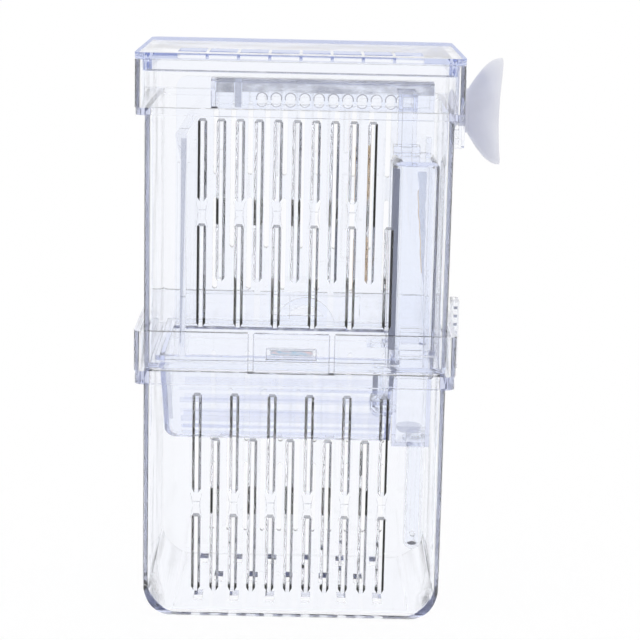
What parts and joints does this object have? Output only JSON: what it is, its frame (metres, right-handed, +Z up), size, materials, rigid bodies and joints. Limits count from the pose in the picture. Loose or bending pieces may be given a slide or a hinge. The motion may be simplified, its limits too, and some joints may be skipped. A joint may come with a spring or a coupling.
{
  "type": "fish breeding box",
  "caption": "Clear two-storey box for breeding fish, with a hopper between the storeys, a divider, a water-lift column, a lid and a suction cup.",
  "frame": {"origin": "centre of the lower box's base face", "axes": "+X towards the suction cup, +Y to the back wall, +Z up"},
  "size_m": [0.1223, 0.076, 0.1901],
  "materials": {
    "clear_body": "clear polystyrene, faintly lavender, polished",
    "clear_insert": "clear polystyrene insert, faintly blue, polished",
    "clear_latch": "clear polystyrene, polished",
    "clear_lid": "clear polystyrene lid, faintly blue, polished",
    "cup_vinyl": "soft milky translucent vinyl, satin"
  },
  "bodies": {
    "lower": {"lower_box": "clear_body", "side_rack": "clear_latch"},
    "front_latch": {"front_latch": "clear_latch"},
    "back_latch": {"back_latch": "clear_latch"},
    "upper": {"upper_box": "clear_body", "hopper": "clear_insert", "overflow_plate": "clear_insert", "spray_channel": "clear_insert", "riser_duct": "clear_insert", "lift_column": "clear_insert", "column_foot": "clear_insert", "intake_pipe": "clear_insert", "air_nozzle": "clear_insert", "cup_bracket": "clear_latch"},
    "divider": {"divider": "clear_insert"},
    "lid": {"lid": "clear_lid"},
    "suction_cup": {"suction_cup": "cup_vinyl"}
  },
  "joints": [
    {"name": "upper_box_lift", "type": "slide", "parent": "lower", "child": "upper", "axis": [0, 0, 1], "range_m": [0, 0.08]},
    {"name": "front_latch_flex", "type": "hinge", "parent": "lower", "child": "front_latch", "pos_m": [-0.00125, -0.037, 0.0863], "axis": [1, 0, 0], "range_deg": [0, 8], "stiffness_Nm_per_rad": 0.05},
    {"name": "back_latch_flex", "type": "hinge", "parent": "lower", "child": "back_latch", "pos_m": [-0.00125, 0.037, 0.0863], "axis": [-1, 0, 0], "range_deg": [0, 8], "stiffness_Nm_per_rad": 0.05},
    {"name": "lid_lift", "type": "slide", "parent": "upper", "child": "lid", "axis": [0, 0, 1], "range_m": [0, 0.05]},
    {"name": "divider_slide", "type": "slide", "parent": "upper", "child": "divider", "axis": [0, 0, 1], "range_m": [0, 0.018]},
    {"name": "cup_spin", "type": "hinge", "parent": "upper", "child": "suction_cup", "pos_m": [0.054, 0, 0.17], "axis": [1, 0, 0], "continuous": true}
  ]
}
